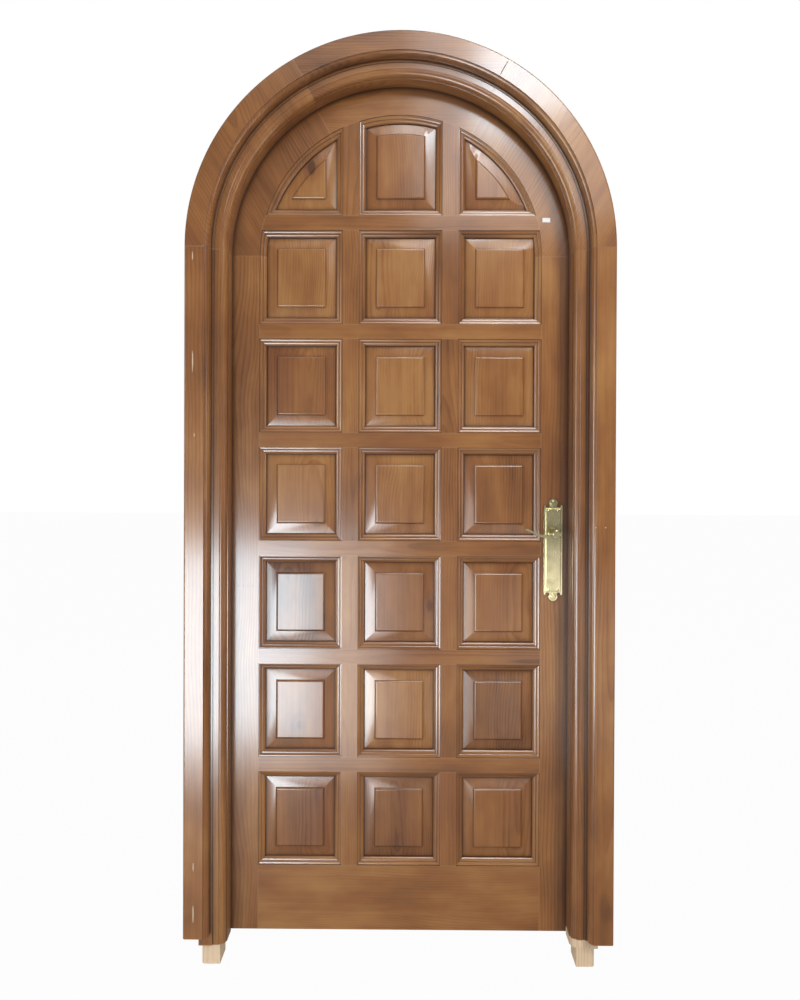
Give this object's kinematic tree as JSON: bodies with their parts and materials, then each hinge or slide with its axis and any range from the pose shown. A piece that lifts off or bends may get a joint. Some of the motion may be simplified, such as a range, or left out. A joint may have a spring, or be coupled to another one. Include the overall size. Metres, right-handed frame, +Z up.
{
  "type": "arched panelled door in frame",
  "caption": "Round-headed timber door with raised and fielded panels, hung on butt hinges in a rebated frame with architrave, lever handles and a sprung latch.",
  "frame": {"origin": "middle of the door on the floor plane through the feet of the frame's horns, at the depth of the leaf's front face, which is also about the middle of the depth over the handles", "axes": "+Z up along the stiles, +X to the right seen from the front, which is the handle side, +Y from the front to the back, the way the leaf opens"},
  "size_m": [0.991, 0.19, 2.163],
  "materials": {
    "stained_pine": "stained and glossy varnished, raw on the horns",
    "handle_brass": "aged, pale, satin",
    "hinge_steel": "dull, lightly oiled",
    "lock_steel": "plain satin"
  },
  "bodies": {
    "frame": {"hinge_jamb": "stained_pine", "lock_jamb": "stained_pine", "arch_jamb_left": "stained_pine", "arch_jamb_crown": "stained_pine", "arch_jamb_right": "stained_pine", "architrave_left": "stained_pine", "architrave_right": "stained_pine", "architrave_arch_left": "stained_pine", "architrave_arch_crown": "stained_pine", "architrave_arch_right": "stained_pine", "hinge_frame_leaves": "hinge_steel", "hinge_pins": "hinge_steel", "frame_screws": "hinge_steel", "strike_plate": "lock_steel"},
    "leaf": {"hinge_stile": "stained_pine", "lock_stile": "stained_pine", "head_left": "stained_pine", "head_crown": "stained_pine", "head_right": "stained_pine", "cross_rail_1": "stained_pine", "cross_rail_2": "stained_pine", "cross_rail_3": "stained_pine", "cross_rail_4": "stained_pine", "cross_rail_5": "stained_pine", "cross_rail_6": "stained_pine", "bottom_rail": "stained_pine", "muntins_left": "stained_pine", "muntins_right": "stained_pine", "panel_row1_left": "stained_pine", "panel_row1_centre": "stained_pine", "panel_row1_right": "stained_pine", "panel_row2_left": "stained_pine", "panel_row2_centre": "stained_pine", "panel_row2_right": "stained_pine", "panel_row3_left": "stained_pine", "panel_row3_centre": "stained_pine", "panel_row3_right": "stained_pine", "panel_row4_left": "stained_pine", "panel_row4_centre": "stained_pine", "panel_row4_right": "stained_pine", "panel_row5_left": "stained_pine", "panel_row5_centre": "stained_pine", "panel_row5_right": "stained_pine", "panel_row6_left": "stained_pine", "panel_row6_centre": "stained_pine", "panel_row6_right": "stained_pine", "panel_row7_left": "stained_pine", "panel_row7_centre": "stained_pine", "panel_row7_right": "stained_pine", "hinge_door_leaves": "hinge_steel", "leaf_screws": "hinge_steel", "plate_front": "handle_brass", "plate_back": "handle_brass", "lock_case": "lock_steel", "forend": "lock_steel"},
    "lever": {"lever_front": "handle_brass", "lever_back": "handle_brass", "spindle": "lock_steel", "lock_follower": "lock_steel"},
    "latch": {"latch_bolt": "lock_steel"}
  },
  "joints": [
    {"name": "leaf_swing", "type": "hinge", "parent": "frame", "child": "leaf", "pos_m": [-0.414, 0.052, 1], "axis": [0, 0, 1], "range_deg": [0, 110]},
    {"name": "lever_turn", "type": "hinge", "parent": "leaf", "child": "lever", "pos_m": [0.3675, 0, 1.007], "axis": [0, -1, 0], "range_deg": [0, 40], "stiffness_Nm_per_rad": 1.5, "springref_deg": -34.38},
    {"name": "latch_slide", "type": "slide", "parent": "leaf", "child": "latch", "axis": [-1, 0, 0], "range_m": [0, 0.0112]}
  ],
  "couplings": [
    {"joint": "latch_slide", "follows": "lever_turn", "m_per_rad": 0.01575}
  ]
}
